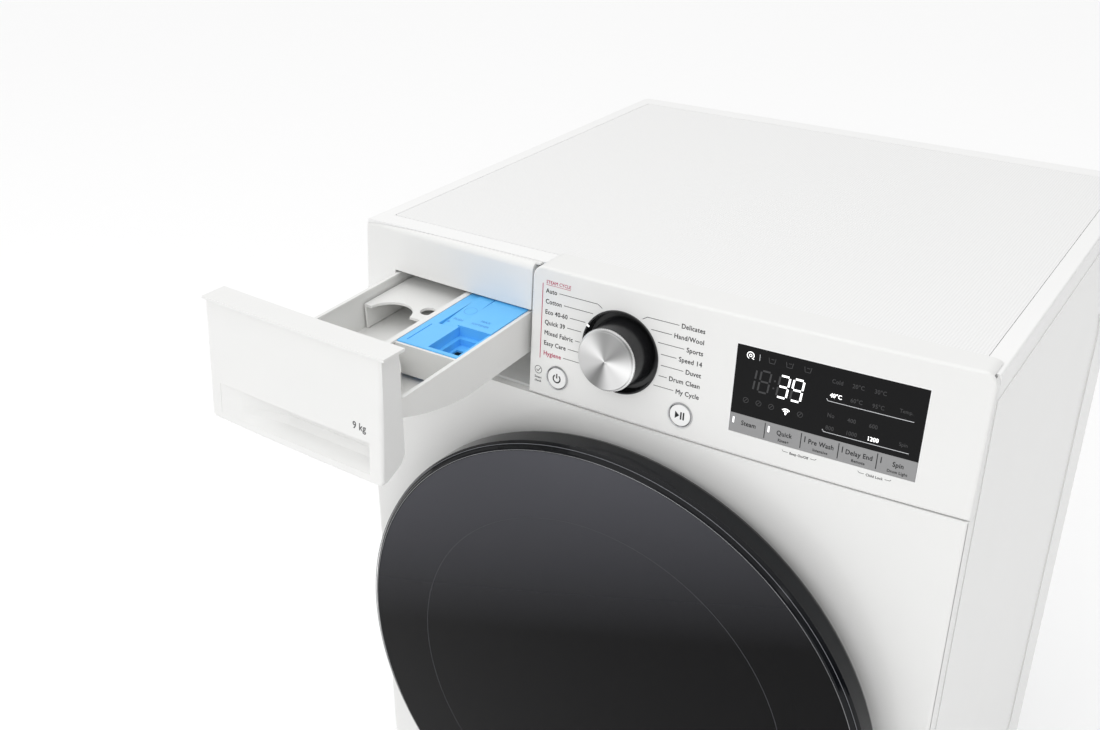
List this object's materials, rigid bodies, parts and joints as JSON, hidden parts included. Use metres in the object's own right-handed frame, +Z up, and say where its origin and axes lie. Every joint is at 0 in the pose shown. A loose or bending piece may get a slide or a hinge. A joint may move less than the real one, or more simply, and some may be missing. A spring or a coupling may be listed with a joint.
{
  "type": "front load washing machine",
  "caption": "Front load washing machine with a round dark glass door, a raised bowed control panel with a dial and touch display, and a detergent drawer standing open.",
  "frame": {"origin": "on the floor, in the middle of the cabinet's width and of the depth between its bowed face and its rear panel", "axes": "+X to the right as the user faces the machine, +Y away from the user, +Z up"},
  "size_m": [0.6, 0.7838, 0.85],
  "materials": {
    "white_enamel": "smooth satin enamel",
    "white_plastic": "fine satin",
    "worktop_texture": "fine diamond grain",
    "liner_grey": "smooth",
    "tray_white": "smooth",
    "siphon_blue": "smooth, slightly shiny",
    "display_black": "mirror gloss",
    "strip_grey": "gloss",
    "bezel_black": "gloss",
    "knob_black": "gloss",
    "knob_metal": "turned, radial sheen",
    "ring_chrome": "polished",
    "door_black": "mirror gloss",
    "door_tint": "dark tinted, glossy",
    "door_clear": "clear",
    "frame_grey": "smooth",
    "gasket_rubber": "soft grey",
    "black_rubber": "soft",
    "foot_black": "moulded",
    "zinc_sheet": "galvanised grey",
    "steel": "plain",
    "hinge_metal": "painted grey casting",
    "drum_steel": "bright, perforated",
    "lifter_plastic": "smooth",
    "inner_grey": "moulded",
    "filter_dark": "moulded",
    "board_green": "laminate",
    "concrete": "cast",
    "motor_copper": "wound"
  },
  "bodies": {
    "cabinet": {"base_pan": "inner_grey", "bay_liner": "liner_grey", "button_rings": "ring_chrome", "control_board": "board_green", "damper_cylinders": "inner_grey", "dial_bezel": "bezel_black", "dispenser_hose": "black_rubber", "dispenser_housing": "inner_grey", "display_window": "display_black", "door_gasket": "gasket_rubber", "door_lock": "frame_grey", "drain_pump": "inner_grey", "fascia_cover": "white_plastic", "fascia_frame": "white_plastic", "front_panel": "white_enamel", "hinge_bracket": "hinge_metal", "inlet_valve": "inner_grey", "levelling_feet": "foot_black", "rear_fittings": "inner_grey", "rear_panel": "zinc_sheet", "rear_screws": "steel", "rear_service_cover": "zinc_sheet", "side_panel_left": "white_enamel", "side_panel_right": "white_enamel", "suspension_springs": "steel", "top_crossbars": "zinc_sheet", "top_frame": "white_plastic", "top_sheet": "worktop_texture", "touch_strip": "strip_grey", "transit_bolt_caps": "inner_grey"},
    "hatch": {"filter_hatch": "white_plastic"},
    "dial": {"knob_skirt": "knob_black", "knob_cap": "knob_metal", "knob_shaft": "steel"},
    "power_key": {"power_button": "white_plastic"},
    "start_key": {"start_button": "white_plastic"},
    "drawer": {"drawer_tray": "tray_white", "drawer_front": "white_plastic", "siphon_cover": "siphon_blue", "liquid_insert": "tray_white"},
    "drawer_tab": {"release_tab": "siphon_blue"},
    "tub": {"tub_front": "inner_grey", "tub_rear": "inner_grey", "shaft_bearings": "steel", "counterweights": "concrete", "motor_stator": "motor_copper", "damper_rods": "steel"},
    "drum_unit": {"drum": "drum_steel", "drum_lifters": "lifter_plastic", "drum_spider": "steel", "motor_rotor": "steel"},
    "door": {"door_ring": "door_black", "door_glass": "door_tint", "door_back_frame": "frame_grey", "door_bowl": "door_clear", "hinge_knuckles": "inner_grey", "door_pins": "steel"},
    "latch": {"latch_hook": "inner_grey"},
    "impeller": {"pump_impeller": "inner_grey"},
    "filter": {"filter_plug": "filter_dark"}
  },
  "joints": [
    {"name": "drawer_slide", "type": "slide", "parent": "cabinet", "child": "drawer", "axis": [0, 0.9993, 0.0375], "range_m": [-0.03, 0.2]},
    {"name": "release_tab_press", "type": "hinge", "parent": "drawer", "child": "drawer_tab", "pos_m": [-0.155, -0.26493, 0.79948], "axis": [1, 0, 0], "range_deg": [0, 4], "stiffness_Nm_per_rad": 0.12, "springref_deg": -3.44},
    {"name": "program_dial", "type": "hinge", "parent": "cabinet", "child": "dial", "pos_m": [-0.0047, -0.28316, 0.7915], "axis": [-0.001, -0.9969, 0.0785], "continuous": true},
    {"name": "power_press", "type": "slide", "parent": "cabinet", "child": "power_key", "axis": [0.0146, 0.9968, -0.0785], "range_m": [0, 0.0015], "stiffness_N_per_m": 600, "springref_m": -0.002},
    {"name": "start_press", "type": "slide", "parent": "cabinet", "child": "start_key", "axis": [-0.0127, 0.9968, -0.0785], "range_m": [0, 0.0015], "stiffness_N_per_m": 600, "springref_m": -0.002},
    {"name": "door_hinge", "type": "hinge", "parent": "cabinet", "child": "door", "pos_m": [-0.252, -0.306, 0.442], "axis": [0, 0, -1], "range_deg": [0, 130]},
    {"name": "latch_pivot", "type": "hinge", "parent": "door", "child": "latch", "pos_m": [0.214, -0.302, 0.442], "axis": [0, 0, 1], "range_deg": [0, 4], "stiffness_Nm_per_rad": 0.4, "springref_deg": -4.58},
    {"name": "hatch_hinge", "type": "hinge", "parent": "cabinet", "child": "hatch", "pos_m": [-0.207, -0.2858, 0.0526], "axis": [1, 0, 0], "range_deg": [0, 80]},
    {"name": "filter_turn", "type": "hinge", "parent": "cabinet", "child": "filter", "pos_m": [-0.207, -0.262, 0.101], "axis": [0, 1, 0], "range_deg": [-180, 0]},
    {"name": "pump_spin", "type": "hinge", "parent": "cabinet", "child": "impeller", "pos_m": [-0.207, -0.168, 0.101], "axis": [0, 1, 0], "continuous": true},
    {"name": "tub_float", "type": "slide", "parent": "cabinet", "child": "tub", "axis": [0, 0, 1], "range_m": [-0.008, 0.008], "stiffness_N_per_m": 12000, "springref_m": 0.02931, "deforming": ["suspension_springs"]},
    {"name": "drum_spin", "type": "hinge", "parent": "tub", "child": "drum_unit", "pos_m": [0, 0, 0.442], "axis": [0, 1, 0], "continuous": true}
  ]
}
